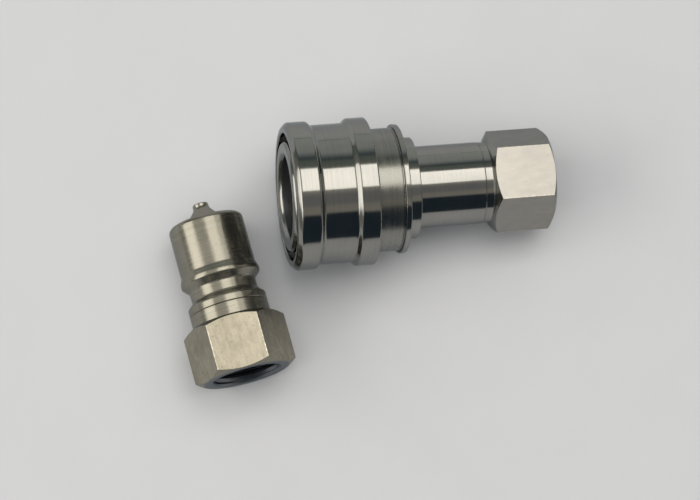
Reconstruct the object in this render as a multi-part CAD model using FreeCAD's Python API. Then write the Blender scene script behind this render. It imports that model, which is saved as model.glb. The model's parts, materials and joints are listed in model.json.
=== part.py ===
import FreeCAD, Part
import os
from math import atan2, cos, degrees, hypot, pi, radians, sin, sqrt, tan

# A quick coupling for hydraulic hose, in two halves that lie apart on a table.
# The socket half has a spring-loaded sleeve over a ring of locking balls; the plug half has the
# nose and the ball groove. Each half closes itself with a sprung poppet valve when they part.
#
# Every piece is turned about the X axis of its own half: x counts back from the socket's mouth
# for the socket, and forward from the hexagon's open end for the plug. The last section lays the
# two halves on the table. All sizes are in millimetres.

# Sizes that both halves share
THREAD_D = 16.66            # pipe thread for the hose ends, over its crests in the hole
THREAD_DEPTH = 12.6         # depth of the tapped hole
THREAD_MOUTH = 0.45         # countersink of the tapped hole
HEX_WALL = 2.67             # metal between the thread and a hexagon flat
HEX_CHAMFER = 30.0          # slope of the hexagons' chamfers, degrees
FINE_EDGE = 0.25            # broken edge of turned parts

# The plug's outside, from which the socket is sized
NOSE_D = 18.7               # the sealing nose
NOSE_LENGTH = 12.7          # nose, from its step to its front face
NOSE_ROUND = 1.3            # rounding of the nose's front edge
RIDGE_STEP = 0.55           # the ridge stands above the nose by this
RIDGE_LENGTH = 1.0          # full-height part of the ridge
RIDGE_LEAD = 1.6            # taper from the ridge down to the nose
GROOVE_FLOOR = 2.7          # flat floor of the ball groove
GROOVE_FLANK = 46.0         # slope of its two flanks, degrees
BAND_LENGTH = 5.0           # guide band between the groove and the hexagon
BAND_STEP = 0.15            # the band is under the ridge by this
BAND_LINE = 1.8             # fine turned line, from the groove side of the band
PLUG_HEX_LENGTH = 13.9

# The balls that lock the halves
BALL_D = 4.76
BALL_COUNT = 8
BALL_TRAVEL = 1.25          # outward, to let the ridge pass
BALL_FIT = 0.04             # ball in its hole
BALL_OVER_GROOVE = 0.46     # locked ball over the groove's floor
RING_TO_BALL = 0.52         # metal between the ring groove and the ball holes

# Sleeve and what carries it
FRONT_WALL = 3.45           # socket body round the balls
ENTRY_GAP = 0.15            # ridge in the mouth bore
NOSE_GAP = 0.10             # nose in the sealing bore
MOUTH_BEVEL = 1.4           # lead-in of the mouth, along the axis
MOUTH_BEVEL_RISE = 1.95     # and in radius
SLEEVE_SETBACK = 0.3        # the sleeve's front is behind the body's by this
SLEEVE_LENGTH = 20.1
SLEEVE_TRAVEL = 5.0
SLEEVE_STOP_GAP = 1.5       # what is left before the flange when the sleeve is back
SLEEVE_FIT = 0.05           # sleeve land on the body
SLEEVE_REAR_FIT = 0.10      # sleeve's rear bore on the body's barrel
SLEEVE_LIP_RELIEF = 0.7     # room over a released ball
SLEEVE_WALL = 2.55          # outside of the sleeve's grip rings over its front bore
GRIP_STEP = 1.05            # waist under the grip rings
FRONT_GRIP = 5.0            # length of the front grip ring
FRONT_GRIP_BEVEL = 0.6
REAR_GRIP = 4.45            # length of the rear grip ring
LAND_LENGTH = 2.5           # sleeve land behind the ball ramp
SLEEVE_WIRE = 1.15
SLEEVE_SPRING_LENGTH = 9.5
SLEEVE_SPRING_TURNS = 2.5
SPRING_SIDE_GAP = 0.2       # spring to the walls beside it
RING_SETBACK = 2.2          # retaining ring groove, from the mouth
RING_WIDTH = 1.1
RING_DEPTH = 0.7            # groove in the body
RING_FIT = 0.05
RING_SPLIT = 14.0           # gap between the ring's ends, degrees
RING_COVER = 0.3            # ring to the sleeve's front bore

# Socket body behind the sleeve
FLANGE_RISE = 0.75
FLANGE_WIDTH = 1.4
LINE_WIDTH = 0.4            # fine groove in front of the flange
LINE_DEPTH = 0.3
SPIGOT_LENGTH = 4.7         # adapter inside the body
SPIGOT_WALL = 2.2
SPIGOT_FIT = 0.05
COLLAR_WALL = 3.5
NECK_SHOULDER = 1.1         # neck over the spigot, where it butts on the collar
NECK_LENGTH = 18.3
NECK_RELIEF = 1.8           # run-out of the turning tool before the hexagon
NECK_RELIEF_DEPTH = 0.12
SOCKET_HEX_LENGTH = 15.4
PASSAGE_D = 12.0            # flow passage through the adapter

# Seals
NOSE_SEAL = 2.0             # section of the O-ring that grips the nose
NOSE_SEAL_OFF = 0.07        # drawn just clear of the nose
BACKUP_WIDTH = 1.3
BACKUP_SPLIT = 2.0          # degrees
SEAL_LAND = 2.5             # bore in front of the seal groove
SEAL_ROOM = 0.05
ADAPTER_SEAL = 1.0          # section of the adapter's O-ring
ADAPTER_SEAL_SETBACK = 0.6

# Valves, the same in both halves but for their lengths
CHAMBER_D = 13.4
HEAD_GAP = 0.75             # flow gap round the valve head
SEAT_WIDTH = 0.75           # seat under the head
SEAT_LIP = 0.5              # straight lip in front of the seat
SEAT_GAP = 0.06             # closed valve to its seat
HEAD_RIM = 1.5
TIP_D = 3.9                 # the two tips push each other open
PLUG_TIP = 4.6
PLUG_TIP_CONE = 3.3         # part of that length in which the head's front runs out into the tip
PLUG_TIP_FILLET = 1.5
SOCKET_TIP = 2.0
SOCKET_TIP_CONE = 1.2
SOCKET_TIP_FILLET = 0.5
STEM_D = 3.2
STEM_FIT = 0.05
STEM_SPARE = 2.5            # stem beyond its guide
SPRING_COLLAR = 1.7         # collar on the valve's back over the stem, in radius
SPRING_COLLAR_LENGTH = 1.0
VALVE_WIRE = 0.9
VALVE_SPRING_GAP = 0.65     # wire's inside to the collar
SOCKET_SPRING_LENGTH = 10.0
PLUG_SPRING_LENGTH = 19.0
SOCKET_SPRING_TURNS = 5.0
PLUG_SPRING_TURNS = 8.0
VALVE_SEAL_WIDTH = 0.6
VALVE_SEAL_DEPTH = 0.52
FACE_GAP = 0.02             # pieces that rest on each other
GUIDE_THICKNESS = 2.0
GUIDE_RIM = 1.2
GUIDE_ARM = 1.8
GUIDE_ARMS = 3
HUB_WALL = 1.4
HUB_LENGTH = 4.0
PLUG_GUIDE_STEP = 0.6       # guide's counterbore over the chamber
CLIP_WIDTH = 1.05
CLIP_DEPTH = 0.6
CLIP_REACH = 0.75
CLIP_SPLIT = 36.0           # degrees
NOSE_STOP_GAP = 0.3         # nose to the socket's inner face when locked

# How the halves lie
PLUG_HEX_PLACE = (-13.7, -41.2)  # plan place of the plug's open end, from the socket's mouth
PLUG_HEADING = 99.65        # plan direction in which the nose points, degrees from the socket's axis

# Radii worked out from the sizes above
THREAD_R = THREAD_D / 2
HEX_R = THREAD_R + HEX_WALL
CORNER_R = HEX_R / cos(pi / 6)
NOSE_R = NOSE_D / 2
RIDGE_R = NOSE_R + RIDGE_STEP
BAND_R = RIDGE_R - BAND_STEP
MOUTH_R = RIDGE_R + ENTRY_GAP
SEAL_BORE_R = NOSE_R + NOSE_GAP
FRONT_R = MOUTH_R + FRONT_WALL
LAND_R = FRONT_R + SLEEVE_FIT
BALL_R = BALL_D / 2
BALL_CENTRE_R = FRONT_R - BALL_R + FACE_GAP
GROOVE_R = BALL_CENTRE_R - BALL_R - BALL_OVER_GROOVE
SPRING_ROOM = SLEEVE_WIRE + 2 * SPRING_SIDE_GAP
BARREL_R = FRONT_R + SPRING_ROOM
REAR_BORE_R = BARREL_R + SLEEVE_REAR_FIT
FRONT_BORE_R = LAND_R + BALL_TRAVEL + SLEEVE_LIP_RELIEF
GRIP_R = FRONT_BORE_R + SLEEVE_WALL
WAIST_R = GRIP_R - GRIP_STEP
FLANGE_R = BARREL_R + FLANGE_RISE
CHAMBER_R = CHAMBER_D / 2
SPIGOT_R = CHAMBER_R + SPIGOT_WALL
COLLAR_R = SPIGOT_R + COLLAR_WALL
NECK_R = SPIGOT_R + NECK_SHOULDER
PASSAGE_R = PASSAGE_D / 2
HEAD_R = CHAMBER_R - HEAD_GAP
OPENING_R = HEAD_R - SEAT_WIDTH
STEM_R = STEM_D / 2
TIP_R = TIP_D / 2
HUB_R = STEM_R + HUB_WALL
COLLAR_BACK_R = STEM_R + SPRING_COLLAR
VALVE_SPRING_R = COLLAR_BACK_R + VALVE_SPRING_GAP + VALVE_WIRE / 2
PLUG_GUIDE_R = CHAMBER_R + PLUG_GUIDE_STEP

# Places along the plug
FLANK = tan(radians(GROOVE_FLANK))
BAND_END = PLUG_HEX_LENGTH + BAND_LENGTH
FLOOR_START = BAND_END + (BAND_R - GROOVE_R) / FLANK
FLOOR_END = FLOOR_START + GROOVE_FLOOR
RIDGE_START = FLOOR_END + (RIDGE_R - GROOVE_R) / FLANK
RIDGE_END = RIDGE_START + RIDGE_LENGTH
NOSE_START = RIDGE_END + RIDGE_LEAD
NOSE_FRONT = NOSE_START + NOSE_LENGTH
PLUG_SEAT = NOSE_FRONT - SEAT_LIP
GROOVE_TO_FRONT = NOSE_FRONT - (FLOOR_START + FLOOR_END) / 2

# Places along the socket
RING_END = RING_SETBACK + RING_WIDTH
BALL_PLANE = RING_END + RING_TO_BALL + BALL_R
RAMP = BALL_TRAVEL / SLEEVE_TRAVEL
RAMP_AT_BALL_R = BALL_CENTRE_R + BALL_R * hypot(1, RAMP) + FACE_GAP
RAMP_END = BALL_PLANE + (RAMP_AT_BALL_R - LAND_R) / RAMP
LAND_END = RAMP_END + LAND_LENGTH
BARREL_START = LAND_END + SLEEVE_SPRING_LENGTH
SLEEVE_END = SLEEVE_SETBACK + SLEEVE_LENGTH
FLANGE_START = SLEEVE_END + SLEEVE_TRAVEL + SLEEVE_STOP_GAP
FLANGE_END = FLANGE_START + FLANGE_WIDTH
NOSE_AT = BALL_PLANE + GROOVE_TO_FRONT
SEAL_BORE_START = NOSE_AT - NOSE_LENGTH + NOSE_STOP_GAP
SEAL_GROOVE = SEAL_BORE_START + (MOUTH_R - SEAL_BORE_R) + SEAL_LAND
SEAL_GROOVE_END = SEAL_GROOVE + BACKUP_WIDTH + NOSE_SEAL + 6 * SEAL_ROOM
SEAL_GROOVE_R = NOSE_R + NOSE_SEAL_OFF + NOSE_SEAL + SEAL_ROOM
INNER_FACE = NOSE_AT + NOSE_STOP_GAP
SOCKET_SEAT = INNER_FACE + SEAT_LIP
SPIGOT_START = SOCKET_SEAT + (CHAMBER_R - OPENING_R) + SEAT_GAP
COLLAR_END = SPIGOT_START + SPIGOT_LENGTH
HEX_START = COLLAR_END + NECK_LENGTH
SOCKET_END = HEX_START + SOCKET_HEX_LENGTH

# The valve's own places, from the front edge of its seat towards the hose
HEAD_FRONT = -SEAT_LIP
CONE_DROP = SEAT_GAP * sqrt(2)
HEAD_SHOULDER = HEAD_R - OPENING_R + CONE_DROP
HEAD_BACK = HEAD_SHOULDER + HEAD_RIM

ORIGIN = FreeCAD.Vector(0, 0, 0)
AXIS = FreeCAD.Vector(1, 0, 0)


def at(x, r, turn=0.0):
    """The point at x along the axis and r from it, turned from straight up by some degrees."""
    return FreeCAD.Vector(x, r * sin(radians(turn)), r * cos(radians(turn)))


def turned(outline):
    """Revolve an outline. A step is (x, r), or (x, r, x, r) for an arc through the first of two points."""
    here = at(*outline[0])
    edges = []
    for step in outline[1:] + outline[:1]:
        there = at(*step[-2:])
        if len(step) == 4:
            edges.append(Part.Arc(here, at(*step[:2]), there).toShape())
        else:
            edges.append(Part.makeLine(here, there))
        here = there
    return Part.Face(Part.Wire(edges)).revolve(ORIGIN, AXIS, 360)


def on_arc(x, r, radius, angle):
    """A point on a circle about (x, r), at an angle from the axis in degrees."""
    return (x + radius * cos(radians(angle)), r + radius * sin(radians(angle)))


def rod(start, end, radius):
    return Part.makeCylinder(radius, end - start, at(start, 0), AXIS)


def tube(start, end, inner, outer):
    return rod(start, end, outer).cut(rod(start, end, inner))


def wedge(start, end, radius, width, middle=0.0):
    """A sector of a disc, to cut a split in a ring."""
    side = at(0, radius, -width / 2)
    face = Part.makePolygon([at(0, 0), side, at(0, radius * 1.2), at(0, radius, width / 2), at(0, 0)])
    sector = Part.Face(face).extrude(AXIS * (end - start))
    sector.translate(AXIS * start)
    sector.rotate(ORIGIN, AXIS, -middle)
    return sector


def hexagon(start, end, front_r, rear_r):
    """A hexagon bar with a flat on top, chamfered down to a radius at each of its two end faces."""
    corners = [at(start, CORNER_R, 30 + 60 * k) for k in range(7)]
    bar = Part.Face(Part.makePolygon(corners)).extrude(AXIS * (end - start))
    reach = CORNER_R + FINE_EDGE
    slope = tan(radians(HEX_CHAMFER))
    envelope = turned([
        (start, 0), (start, front_r), (start + (reach - front_r) * slope, reach),
        (end - (reach - rear_r) * slope, reach), (end, rear_r), (end, 0)])
    return bar.common(envelope)


def tapped_hole(end, direction, depth):
    """The hole for a pipe thread, bored to the thread's full diameter, with its countersink."""
    mouth = (end + direction, THREAD_R + THREAD_MOUTH + 1)
    bottom = end - direction * depth
    return turned([
        (end + direction, 0), mouth, (end - direction * THREAD_MOUTH, THREAD_R),
        (bottom, THREAD_R), (bottom, 0)])


def coil(start, end, radius, wire, turns):
    """A helical spring, as half rings that lean to and fro and run on smoothly into each other."""
    half_turns = round(2 * turns)
    rise = (end - start - wire) / half_turns
    section = Part.makeCircle(wire / 2, at(start + wire / 2, radius), at(0, 1, 90))
    faces = [Part.Face(Part.Wire(section))]
    for k in range(half_turns):
        middle = at(start + wire / 2 + (k + 0.5) * rise, 0)
        across = at(radius, rise / 2, 180 * k)
        faces.append(section.revolve(middle, across, 180))
        section = section.copy()
        section.rotate(middle, across, 180)
    faces.append(Part.Face(Part.Wire(section)))
    shell = Part.makeShell(faces)
    shell.sewShape()
    return Part.makeSolid(Part.Shell(shell.Faces))


# The socket half

def socket_body():
    line = FLANGE_START - LINE_WIDTH
    outside = turned([
        (0, 0), (0, FRONT_R - FINE_EDGE), (FINE_EDGE, FRONT_R),
        (RING_SETBACK, FRONT_R), (RING_SETBACK, FRONT_R - RING_DEPTH),
        (RING_END, FRONT_R - RING_DEPTH), (RING_END, FRONT_R),
        (BARREL_START, FRONT_R), (BARREL_START, BARREL_R - FINE_EDGE), (BARREL_START + FINE_EDGE, BARREL_R),
        (line, BARREL_R), (line + LINE_WIDTH / 2, BARREL_R - LINE_DEPTH), (FLANGE_START, BARREL_R),
        (FLANGE_START, FLANGE_R - FINE_EDGE), (FLANGE_START + FINE_EDGE, FLANGE_R),
        (FLANGE_END - FINE_EDGE, FLANGE_R), (FLANGE_END, FLANGE_R - FINE_EDGE),
        (FLANGE_END, COLLAR_R), (COLLAR_END - FINE_EDGE, COLLAR_R), (COLLAR_END, COLLAR_R - FINE_EDGE),
        (COLLAR_END, 0)])
    step = MOUTH_R - SEAL_BORE_R
    spigot_bore = SPIGOT_R + SPIGOT_FIT
    bore = turned([
        (-1, 0), (-1, MOUTH_R + MOUTH_BEVEL_RISE + 1), (0, MOUTH_R + MOUTH_BEVEL_RISE),
        (MOUTH_BEVEL, MOUTH_R), (SEAL_BORE_START, MOUTH_R), (SEAL_BORE_START + step, SEAL_BORE_R),
        (SEAL_GROOVE, SEAL_BORE_R), (SEAL_GROOVE, SEAL_GROOVE_R),
        (SEAL_GROOVE_END, SEAL_GROOVE_R), (SEAL_GROOVE_END, SEAL_BORE_R),
        (INNER_FACE, SEAL_BORE_R), (INNER_FACE, OPENING_R), (SOCKET_SEAT, OPENING_R),
        (SOCKET_SEAT + CHAMBER_R - OPENING_R, CHAMBER_R), (SPIGOT_START, CHAMBER_R),
        (SPIGOT_START, spigot_bore), (COLLAR_END + 1, spigot_bore), (COLLAR_END + 1, 0)])
    body = outside.cut(bore)
    for k in range(BALL_COUNT):
        body = body.cut(ball_hole(k))
    return body


def ball_turn(k):
    return 360.0 * k / BALL_COUNT


def ball_hole(k):
    """A radial hole with a round bottom, which keeps the ball from dropping into the bore."""
    radius = BALL_R + BALL_FIT
    centre = at(BALL_PLANE, BALL_CENTRE_R, ball_turn(k))
    outward = at(0, 1, ball_turn(k))
    hole = Part.makeCylinder(radius, FRONT_R, centre, outward)
    return hole.fuse(Part.makeSphere(radius, centre))


def ball(k):
    return Part.makeSphere(BALL_R, at(BALL_PLANE, BALL_CENTRE_R, ball_turn(k)))


def sleeve():
    front = SLEEVE_SETBACK
    shoulder = RING_END + RING_FIT
    ramp_r = RAMP_AT_BALL_R + RAMP * (BALL_PLANE - shoulder)
    grip_front = front + FRONT_GRIP_BEVEL
    grip_end = grip_front + FRONT_GRIP
    rear_grip = SLEEVE_END - REAR_GRIP
    return turned([
        (front, FRONT_BORE_R + FINE_EDGE), (front, GRIP_R - FRONT_GRIP_BEVEL), (grip_front, GRIP_R),
        (grip_end, GRIP_R), (grip_end + GRIP_STEP, WAIST_R),
        (rear_grip - GRIP_STEP, WAIST_R), (rear_grip, GRIP_R),
        (SLEEVE_END - FINE_EDGE, GRIP_R), (SLEEVE_END, GRIP_R - FINE_EDGE), (SLEEVE_END, REAR_BORE_R),
        (LAND_END, REAR_BORE_R), (LAND_END, LAND_R), (RAMP_END, LAND_R), (shoulder, ramp_r),
        (shoulder, FRONT_BORE_R), (front + FINE_EDGE, FRONT_BORE_R)])


def sleeve_retaining_ring():
    """A split ring in the body's front groove. The sleeve's inner shoulder rests on it."""
    inner = FRONT_R - RING_DEPTH + RING_FIT
    outer = FRONT_BORE_R - RING_COVER
    start = RING_SETBACK + FACE_GAP
    end = RING_END - FACE_GAP
    return tube(start, end, inner, outer).cut(wedge(start - 1, end + 1, outer * 1.5, RING_SPLIT))


def sleeve_spring():
    middle = FRONT_R + SPRING_SIDE_GAP + SLEEVE_WIRE / 2
    return coil(LAND_END + FACE_GAP, BARREL_START - FACE_GAP, middle, SLEEVE_WIRE, SLEEVE_SPRING_TURNS)


def o_ring(x, middle, section):
    return Part.makeTorus(middle, section / 2, at(x, 0), AXIS)


def nose_o_ring():
    x = SEAL_GROOVE_END - 2 * SEAL_ROOM - NOSE_SEAL / 2
    return o_ring(x, NOSE_R + NOSE_SEAL_OFF + NOSE_SEAL / 2, NOSE_SEAL)


def backup_ring():
    """The stiff split ring in front of the O-ring, which keeps pressure from pushing it out."""
    start = SEAL_GROOVE + SEAL_ROOM
    ring = tube(start, start + BACKUP_WIDTH, NOSE_R + NOSE_SEAL_OFF, SEAL_GROOVE_R - SEAL_ROOM)
    return ring.cut(wedge(start - 1, start + BACKUP_WIDTH + 1, SEAL_GROOVE_R * 1.5, BACKUP_SPLIT))


def adapter():
    """The rear part with the neck, the hexagon and the tapped hole, screwed into the body."""
    groove = SPIGOT_START + ADAPTER_SEAL_SETBACK
    groove_end = groove + ADAPTER_SEAL + 4 * SEAL_ROOM
    groove_r = SPIGOT_R - ADAPTER_SEAL
    start = SPIGOT_START + FACE_GAP
    butt = COLLAR_END + FACE_GAP
    relief = HEX_START - NECK_RELIEF
    relief_r = NECK_R - NECK_RELIEF_DEPTH
    neck = turned([
        (start, 0), (start, SPIGOT_R - FINE_EDGE), (start + FINE_EDGE, SPIGOT_R),
        (groove, SPIGOT_R), (groove, groove_r), (groove_end, groove_r), (groove_end, SPIGOT_R),
        (butt, SPIGOT_R), (butt, NECK_R), (relief - NECK_RELIEF_DEPTH, NECK_R), (relief, relief_r),
        (HEX_START + FINE_EDGE, relief_r), (HEX_START + FINE_EDGE, 0)])
    bar = neck.fuse(hexagon(HEX_START, SOCKET_END, NECK_R, HEX_R - FINE_EDGE))
    guide = socket_guide_place()
    inside = turned([
        (start - 1, 0), (start - 1, CHAMBER_R), (guide + GUIDE_THICKNESS + FACE_GAP, CHAMBER_R),
        (guide + GUIDE_THICKNESS + FACE_GAP, PASSAGE_R), (SOCKET_END - 1, PASSAGE_R), (SOCKET_END - 1, 0)])
    return bar.cut(inside).cut(tapped_hole(SOCKET_END, 1, THREAD_DEPTH))


def adapter_o_ring():
    x = SPIGOT_START + ADAPTER_SEAL_SETBACK + 2 * SEAL_ROOM + ADAPTER_SEAL / 2
    return o_ring(x, SPIGOT_R - ADAPTER_SEAL / 2 + FACE_GAP, ADAPTER_SEAL)


def socket_guide_place():
    return SOCKET_SEAT + HEAD_BACK + SOCKET_SPRING_LENGTH


# The valves and their guides, in their own places from the seat's front edge

def seal_section(room):
    """The rubber ring's section in the valve's cone, as an outline. room widens it on its inner sides."""
    start = (HEAD_SHOULDER - VALVE_SEAL_WIDTH) / 2
    end = start + VALVE_SEAL_WIDTH
    face = OPENING_R - CONE_DROP
    floor = face + start - VALVE_SEAL_DEPTH
    return [(start - room, floor - room), (start - room, face + start - room),
            (end + room, face + end + room), (end + room, floor - room)]


def valve(tip, cone, fillet, spring_length):
    """A poppet. The front of its head is a cone that runs out into the tip through a fillet."""
    tip_front = HEAD_FRONT - tip
    face_r = OPENING_R - CONE_DROP + HEAD_FRONT
    slope = degrees(atan2(face_r - TIP_R, cone))
    start = HEAD_FRONT - cone - fillet * tan(radians(slope / 2))
    bend, bend_end = [on_arc(start, TIP_R + fillet, fillet, turn - 90) for turn in (slope / 2, slope)]
    stem_end = HEAD_BACK + spring_length + GUIDE_THICKNESS + STEM_SPARE
    body = turned([
        (tip_front, 0), (tip_front, TIP_R - FINE_EDGE), (tip_front + FINE_EDGE, TIP_R),
        (start, TIP_R), bend + bend_end, (HEAD_FRONT, face_r), (HEAD_SHOULDER, HEAD_R), (HEAD_BACK, HEAD_R),
        (HEAD_BACK, COLLAR_BACK_R), (HEAD_BACK + SPRING_COLLAR_LENGTH, COLLAR_BACK_R),
        (HEAD_BACK + SPRING_COLLAR_LENGTH, STEM_R), (stem_end - FINE_EDGE, STEM_R),
        (stem_end, STEM_R - FINE_EDGE), (stem_end, 0)])
    return body.cut(turned(seal_section(FACE_GAP)))


def valve_seal():
    return turned(seal_section(0))


def valve_spring(length, turns):
    return coil(HEAD_BACK + FACE_GAP, HEAD_BACK + length - FACE_GAP, VALVE_SPRING_R, VALVE_WIRE, turns)


def valve_guide(spring_length, outer):
    """A rim, a hub for the stem and the arms between them, with the flow passing through the gaps."""
    front = HEAD_BACK + spring_length
    end = front + GUIDE_THICKNESS
    hub_start = (front + end - HUB_LENGTH) / 2
    guide = tube(front, end, outer - GUIDE_RIM, outer)
    guide = guide.fuse(rod(hub_start, hub_start + HUB_LENGTH, HUB_R))
    for k in range(GUIDE_ARMS):
        arm = Part.makeBox(end - front, GUIDE_ARM, outer - GUIDE_RIM / 2, at(front, 0) - at(0, GUIDE_ARM / 2, 90))
        arm.rotate(ORIGIN, AXIS, 360.0 * k / GUIDE_ARMS)
        guide = guide.fuse(arm)
    return guide.cut(rod(hub_start - 1, hub_start + HUB_LENGTH + 1, STEM_R + STEM_FIT)).removeSplitter()


# The plug half

def plug_body():
    hexagon_bar = hexagon(0, PLUG_HEX_LENGTH, HEX_R - FINE_EDGE, BAND_R + FINE_EDGE)
    line = BAND_END - BAND_LINE
    groove_line = LINE_DEPTH / 2
    nose_round = on_arc(NOSE_FRONT - NOSE_ROUND, NOSE_R - NOSE_ROUND, NOSE_ROUND, 45)
    shank = turned([
        (PLUG_HEX_LENGTH - 1, 0), (PLUG_HEX_LENGTH - 1, BAND_R), (line - groove_line, BAND_R),
        (line, BAND_R - groove_line), (line + groove_line, BAND_R), (BAND_END, BAND_R),
        (FLOOR_START, GROOVE_R), (FLOOR_END, GROOVE_R), (RIDGE_START, RIDGE_R), (RIDGE_END, RIDGE_R),
        (NOSE_START, NOSE_R),
        (NOSE_FRONT - NOSE_ROUND, NOSE_R), nose_round + (NOSE_FRONT, NOSE_R - NOSE_ROUND),
        (NOSE_FRONT, 0)])
    seat_end = PLUG_SEAT - CHAMBER_R + OPENING_R
    shoulder = plug_guide_shoulder()
    clip_end = shoulder - GUIDE_THICKNESS - FACE_GAP
    clip_start = clip_end - CLIP_WIDTH - 2 * FACE_GAP
    inside = turned([
        (NOSE_FRONT + 1, 0), (NOSE_FRONT + 1, OPENING_R), (PLUG_SEAT, OPENING_R), (seat_end, CHAMBER_R),
        (shoulder, CHAMBER_R), (shoulder, PLUG_GUIDE_R), (clip_end, PLUG_GUIDE_R),
        (clip_end, PLUG_GUIDE_R + CLIP_DEPTH), (clip_start, PLUG_GUIDE_R + CLIP_DEPTH),
        (clip_start, PLUG_GUIDE_R), (1, PLUG_GUIDE_R), (1, 0)])
    return hexagon_bar.fuse(shank).cut(inside).cut(tapped_hole(0, -1, THREAD_DEPTH))


def plug_guide_shoulder():
    return PLUG_SEAT - HEAD_BACK - PLUG_SPRING_LENGTH


def plug_guide_retaining_ring():
    end = plug_guide_shoulder() - GUIDE_THICKNESS - 2 * FACE_GAP
    start = end - CLIP_WIDTH
    outer = PLUG_GUIDE_R + CLIP_DEPTH - FACE_GAP
    ring = tube(start, end, PLUG_GUIDE_R - CLIP_REACH, outer)
    return ring.cut(wedge(start - 1, end + 1, outer * 1.5, CLIP_SPLIT))


# Laying the halves on the table

def lie_down(high_x, high_r, low_x, low_r):
    """The slope, in degrees, of an axis that rests on a circle of high_r at high_x and low_r at low_x."""
    run = high_x - low_x
    return degrees(atan2(high_r - low_r, abs(run)))


def socket_placement():
    """Resting on the rear grip ring and a hexagon flat, so the mouth points a little upward."""
    flat_end = SOCKET_END - FINE_EDGE * tan(radians(HEX_CHAMFER))
    ring_edge = SLEEVE_END - FINE_EDGE
    slope = lie_down(ring_edge, GRIP_R, flat_end, HEX_R)
    turn = FreeCAD.Rotation(FreeCAD.Vector(0, 1, 0), slope)
    touching = turn.multVec(at(flat_end, -HEX_R))
    return FreeCAD.Placement(FreeCAD.Vector(0, 0, -touching.z), turn)


def plug_placement():
    """Resting on a hexagon flat and the nose's front edge, so the nose points a little downward."""
    flat_front = PLUG_HEX_LENGTH - (HEX_R - BAND_R - FINE_EDGE) * tan(radians(HEX_CHAMFER))
    nose_edge = NOSE_FRONT - NOSE_ROUND
    slope = lie_down(flat_front, HEX_R, nose_edge, NOSE_R)
    tilt = FreeCAD.Rotation(FreeCAD.Vector(0, 1, 0), slope)
    heading = FreeCAD.Rotation(FreeCAD.Vector(0, 0, 1), PLUG_HEADING)
    turn = heading.multiply(tilt)
    touching = turn.multVec(at(flat_front, -HEX_R))
    x, y = PLUG_HEX_PLACE
    return FreeCAD.Placement(FreeCAD.Vector(x, y, -touching.z), turn)


def socket_pieces():
    pieces = {
        "socket_body": socket_body(),
        "sleeve": sleeve(),
        "sleeve_spring": sleeve_spring(),
        "sleeve_retaining_ring": sleeve_retaining_ring(),
        "nose_o_ring": nose_o_ring(),
        "backup_ring": backup_ring(),
        "adapter": adapter(),
        "adapter_o_ring": adapter_o_ring(),
    }
    for k in range(BALL_COUNT):
        pieces["ball_%d" % (k + 1)] = ball(k)
    inner = {
        "socket_valve": valve(SOCKET_TIP, SOCKET_TIP_CONE, SOCKET_TIP_FILLET, SOCKET_SPRING_LENGTH),
        "socket_valve_seal": valve_seal(),
        "socket_valve_spring": valve_spring(SOCKET_SPRING_LENGTH, SOCKET_SPRING_TURNS),
        "socket_valve_guide": valve_guide(SOCKET_SPRING_LENGTH, CHAMBER_R - FACE_GAP),
    }
    for name, shape in inner.items():
        shape.translate(AXIS * SOCKET_SEAT)
        pieces[name] = shape
    return pieces


def plug_pieces():
    pieces = {
        "plug_body": plug_body(),
        "plug_guide_retaining_ring": plug_guide_retaining_ring(),
    }
    inner = {
        "plug_valve": valve(PLUG_TIP, PLUG_TIP_CONE, PLUG_TIP_FILLET, PLUG_SPRING_LENGTH),
        "plug_valve_seal": valve_seal(),
        "plug_valve_spring": valve_spring(PLUG_SPRING_LENGTH, PLUG_SPRING_TURNS),
        "plug_valve_guide": valve_guide(PLUG_SPRING_LENGTH, PLUG_GUIDE_R - FACE_GAP),
    }
    for name, shape in inner.items():
        shape.rotate(ORIGIN, FreeCAD.Vector(0, 0, 1), 180)
        shape.translate(AXIS * PLUG_SEAT)
        pieces[name] = shape
    return pieces


def laid_out():
    """Every piece at its place, with the origin on the table under the middle of the whole."""
    placed = {}
    for pieces, placement in ((socket_pieces(), socket_placement()), (plug_pieces(), plug_placement())):
        for name, shape in pieces.items():
            shape.Placement = placement.multiply(shape.Placement)
            placed[name] = shape
    box = Part.makeCompound(list(placed.values())).optimalBoundingBox(True, False)
    for shape in placed.values():
        shape.translate(FreeCAD.Vector(-box.Center.x, -box.Center.y, -box.ZMin))
    print("%d pieces, %.1f x %.1f x %.1f mm" % (len(placed), box.XLength, box.YLength, box.ZLength))
    return placed


def main():
    os.makedirs("parts", exist_ok=True)
    for name, shape in laid_out().items():
        shape.exportStep("parts/%s.step" % name)


main()
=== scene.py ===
# %% [markdown]
# A quick coupling for hydraulic hose, in two halves on a table. The CAD model is the frame: it says
# where every piece is and how it moves. Nearly every visible piece is turned on a lathe, so most of
# this lesson is about one way of working: draw half of a section, round its corners, and spin it.

# %% Load the frame
import json
from math import atan2, cos, degrees, pi, radians, sin, tan

import bmesh
import bpy
from mathutils import Matrix, Vector


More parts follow.
